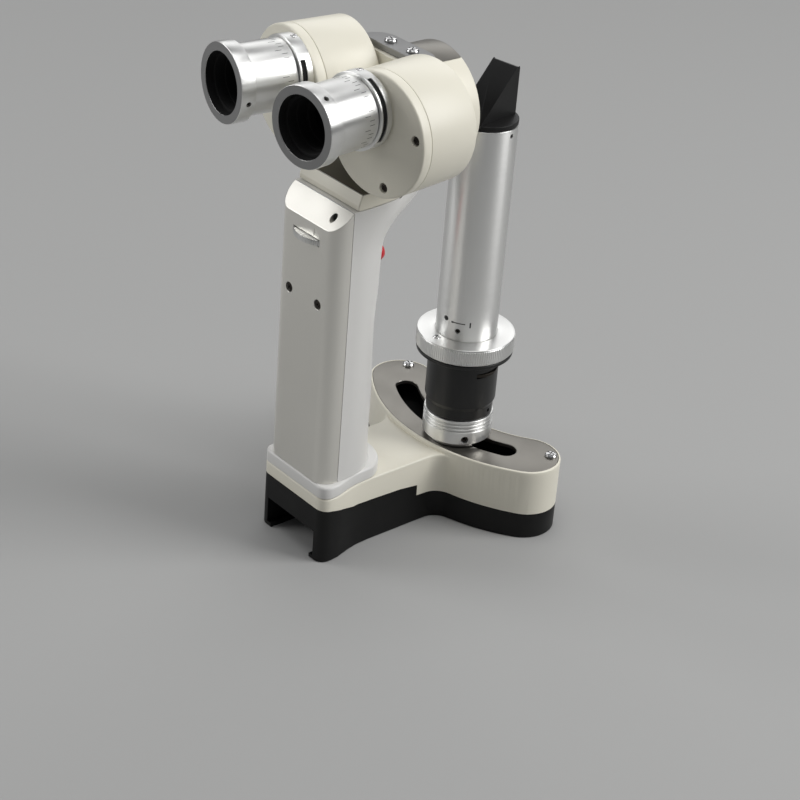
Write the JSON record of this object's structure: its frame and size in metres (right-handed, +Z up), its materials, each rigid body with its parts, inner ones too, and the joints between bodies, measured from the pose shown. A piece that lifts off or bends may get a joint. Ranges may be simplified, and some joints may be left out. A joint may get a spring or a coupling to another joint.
{
  "type": "portable slit lamp",
  "caption": "Hand-held slit lamp: two-eyepiece microscope on a battery handle, crescent base and a slit lamp tower that swings about the focal point.",
  "frame": {"origin": "centre of the bounding box in plan, on the flat underside of the base", "axes": "+Z up, +Y from the operator towards the patient, +X to the operator's right"},
  "size_m": [0.1214, 0.146, 0.2355],
  "materials": {
    "cream_paint": "smooth warm off-white paint on cast metal",
    "white_plastic": "satin white moulding",
    "pearl_plastic": "light pearl grey moulding",
    "black_plastic": "fine-textured black moulding",
    "red_plastic": "red moulded push button",
    "grey_plate": "bead-blasted grey aluminium",
    "satin_aluminium": "satin turned aluminium",
    "black_anodised": "black anodised aluminium",
    "screw_steel": "plain steel screws and washers",
    "contact_brass": "plain brass",
    "circuit_green": "green circuit board with its parts",
    "lamp_dome": "pale lamp body with a clear dome",
    "lens_glass": "clear optical glass",
    "mirror_glass": "front-silvered mirror"
  },
  "bodies": {
    "microscope_body": {"base_casting": "cream_paint", "base_cradle": "black_plastic", "slot_plate": "grey_plate", "slot_plate_screw_left": "screw_steel", "slot_plate_screw_right": "screw_steel", "handle_foot": "white_plastic", "rear_cover": "pearl_plastic", "cap_indicator": "black_plastic", "grip_shell": "white_plastic", "rear_cover_screw_left": "screw_steel", "rear_cover_screw_right": "screw_steel", "button_switch": "black_plastic", "dimmer_potentiometer": "black_plastic", "battery_contacts": "contact_brass", "driver_board": "circuit_green", "neck_saddle": "cream_paint", "head_casting": "cream_paint", "head_top_plate": "satin_aluminium", "top_plate_screw_left": "screw_steel", "top_plate_screw_right": "screw_steel", "nose_inlay": "grey_plate", "objective_plate": "black_anodised", "left_objective_lens": "lens_glass", "right_objective_lens": "lens_glass"},
    "lamp_tower": {"swing_pivot": "contact_brass", "pivot_washer": "screw_steel", "lamp_base_ring": "satin_aluminium", "led_heat_sink": "grey_plate", "led_module": "lamp_dome", "condenser_lens": "lens_glass", "lamp_housing": "black_anodised", "filter_carrier": "grey_plate", "lamp_tube": "satin_aluminium", "projection_lens": "lens_glass", "mirror_holder": "black_anodised", "mirror": "mirror_glass"},
    "aperture_selector": {"aperture_collar": "satin_aluminium", "aperture_disc": "black_anodised"},
    "slit_rotator": {"slit_angle_ring": "black_anodised", "slit_plate": "black_anodised"},
    "filter_selector": {"filter_wheel": "satin_aluminium"},
    "dimmer": {"dimmer_wheel": "satin_aluminium"},
    "shutter": {"shutter_button": "red_plastic"},
    "battery": {"battery_pack": "black_plastic"},
    "left_ocular": {"left_prism_housing": "cream_paint", "left_housing_cover": "cream_paint", "left_prism": "lens_glass", "left_eyepiece_socket": "satin_aluminium"},
    "left_dioptre": {"left_dioptre_barrel": "satin_aluminium", "left_eyepiece_rim": "satin_aluminium"},
    "left_lens_group": {"left_lens_cell": "black_anodised", "left_eye_lens": "lens_glass"},
    "right_ocular": {"right_prism_housing": "cream_paint", "right_housing_cover": "cream_paint", "right_prism": "lens_glass", "right_eyepiece_socket": "satin_aluminium"},
    "right_dioptre": {"right_dioptre_barrel": "satin_aluminium", "right_eyepiece_rim": "satin_aluminium"},
    "right_lens_group": {"right_lens_cell": "black_anodised", "right_eye_lens": "lens_glass"}
  },
  "joints": [
    {"name": "lamp_swing", "type": "hinge", "parent": "microscope_body", "child": "lamp_tower", "pos_m": [0, 0.11302, 0], "axis": [0, 0, 1], "range_deg": [-39.2, 21.2]},
    {"name": "aperture_turn", "type": "hinge", "parent": "lamp_tower", "child": "aperture_selector", "pos_m": [0.01109, 0.04299, 0], "axis": [0, 0, 1], "range_deg": [0, 55]},
    {"name": "slit_turn", "type": "hinge", "parent": "lamp_tower", "child": "slit_rotator", "pos_m": [0.01109, 0.04299, 0], "axis": [0, 0, 1], "range_deg": [-90, 90]},
    {"name": "filter_turn", "type": "hinge", "parent": "lamp_tower", "child": "filter_selector", "pos_m": [0.01726, 0.04426, 0], "axis": [0, 0, 1], "range_deg": [-144, 144]},
    {"name": "right_pupil_distance", "type": "hinge", "parent": "microscope_body", "child": "right_ocular", "pos_m": [0.0301, -0.03548, 0.209], "axis": [-0.1063, 0.9943, 0], "range_deg": [-10, 56]},
    {"name": "right_dioptre_turn", "type": "hinge", "parent": "right_ocular", "child": "right_dioptre", "pos_m": [0.02314, -0.03623, 0.2185], "axis": [-0.1063, 0.9943, 0], "range_deg": [-60, 60]},
    {"name": "right_lens_focus", "type": "slide", "parent": "right_ocular", "child": "right_lens_group", "axis": [-0.1063, 0.9943, 0], "range_m": [-0.0015, 0.0015]},
    {"name": "left_pupil_distance", "type": "hinge", "parent": "microscope_body", "child": "left_ocular", "pos_m": [-0.0301, -0.03548, 0.209], "axis": [0.1063, 0.9943, 0], "range_deg": [-56, 10]},
    {"name": "left_dioptre_turn", "type": "hinge", "parent": "left_ocular", "child": "left_dioptre", "pos_m": [-0.02314, -0.03623, 0.2185], "axis": [0.1063, 0.9943, 0], "range_deg": [-60, 60]},
    {"name": "left_lens_focus", "type": "slide", "parent": "left_ocular", "child": "left_lens_group", "axis": [0.1063, 0.9943, 0], "range_m": [-0.0015, 0.0015]},
    {"name": "dimmer_turn", "type": "hinge", "parent": "microscope_body", "child": "dimmer", "pos_m": [0, -0.03328, 0], "axis": [0, 0, 1], "range_deg": [-135, 135]},
    {"name": "button_press", "type": "slide", "parent": "microscope_body", "child": "shutter", "axis": [0, -1, 0], "range_m": [0, 0.0015], "stiffness_N_per_m": 400, "springref_m": -0.001},
    {"name": "battery_slide", "type": "slide", "parent": "microscope_body", "child": "battery", "axis": [0, 0, -1], "range_m": [0, 0.058]}
  ],
  "couplings": [
    {"joint": "left_pupil_distance", "follows": "right_pupil_distance", "ratio": -1},
    {"joint": "right_lens_focus", "follows": "right_dioptre_turn", "m_per_rad": 0.00143},
    {"joint": "left_lens_focus", "follows": "left_dioptre_turn", "m_per_rad": 0.00143}
  ]
}
